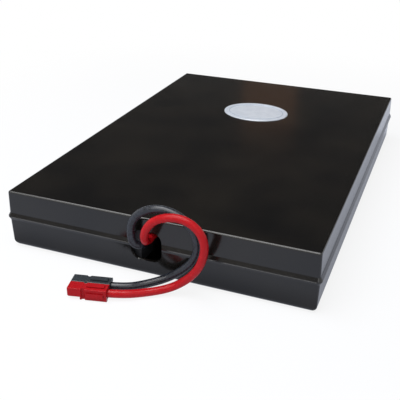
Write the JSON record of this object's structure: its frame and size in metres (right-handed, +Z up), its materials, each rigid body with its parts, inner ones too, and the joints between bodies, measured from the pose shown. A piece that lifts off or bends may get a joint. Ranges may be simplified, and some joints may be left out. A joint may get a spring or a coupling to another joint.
{
  "type": "ups battery cartridge",
  "caption": "Flat sealed battery cartridge in a black clamshell case, with a red and a black lead to a paired connector.",
  "frame": {"origin": "middle of the case's underside", "axes": "+X to the right along the front, -Y the front with the lead outlet, +Z up"},
  "size_m": [0.2164, 0.3553, 0.0564],
  "materials": {
    "case_abs": "moulded, polished",
    "badge_plastic": "satin silver white",
    "battery_abs": "moulded, fine grain",
    "tinned_brass": "tinned",
    "nylon_sleeve": "moulded",
    "foam": "closed cell foam",
    "red_insulation": "extruded PVC",
    "black_insulation": "extruded PVC",
    "red_housing_plastic": "moulded",
    "black_housing_plastic": "moulded",
    "silver_plate": "silver plated copper",
    "spring_steel": "stainless"
  },
  "bodies": {
    "root": {"top_cover": "case_abs", "bottom_tray": "case_abs", "oval_badge": "badge_plastic", "battery_right_front": "battery_abs", "battery_right_rear": "battery_abs", "battery_left_front": "battery_abs", "battery_left_rear": "battery_abs", "tab_right_front_outer": "tinned_brass", "tab_right_front_inner": "tinned_brass", "tab_right_rear_outer": "tinned_brass", "tab_right_rear_inner": "tinned_brass", "tab_left_front_outer": "tinned_brass", "tab_left_front_inner": "tinned_brass", "tab_left_rear_outer": "tinned_brass", "tab_left_rear_inner": "tinned_brass", "receptacle_right_front_outer": "nylon_sleeve", "receptacle_right_front_inner": "nylon_sleeve", "receptacle_right_rear_outer": "nylon_sleeve", "receptacle_right_rear_inner": "nylon_sleeve", "receptacle_left_front_outer": "nylon_sleeve", "receptacle_left_front_inner": "nylon_sleeve", "receptacle_left_rear_outer": "nylon_sleeve", "receptacle_left_rear_inner": "nylon_sleeve", "end_pad_right_front": "foam", "end_pad_right_rear": "foam", "end_pad_left_front": "foam", "end_pad_left_rear": "foam", "foam_strip_right_outer": "foam", "foam_strip_right_inner": "foam", "foam_strip_left_outer": "foam", "foam_strip_left_inner": "foam", "red_inner_lead": "red_insulation", "red_lead": "red_insulation", "right_jumper": "black_insulation", "left_jumper": "black_insulation", "rear_jumper": "black_insulation", "black_inner_lead": "black_insulation", "black_lead": "black_insulation", "red_housing": "red_housing_plastic", "black_housing": "black_housing_plastic", "red_contact": "silver_plate", "black_contact": "silver_plate", "red_spring": "spring_steel", "black_spring": "spring_steel", "roll_pin": "spring_steel"}
  },
  "joints": []
}
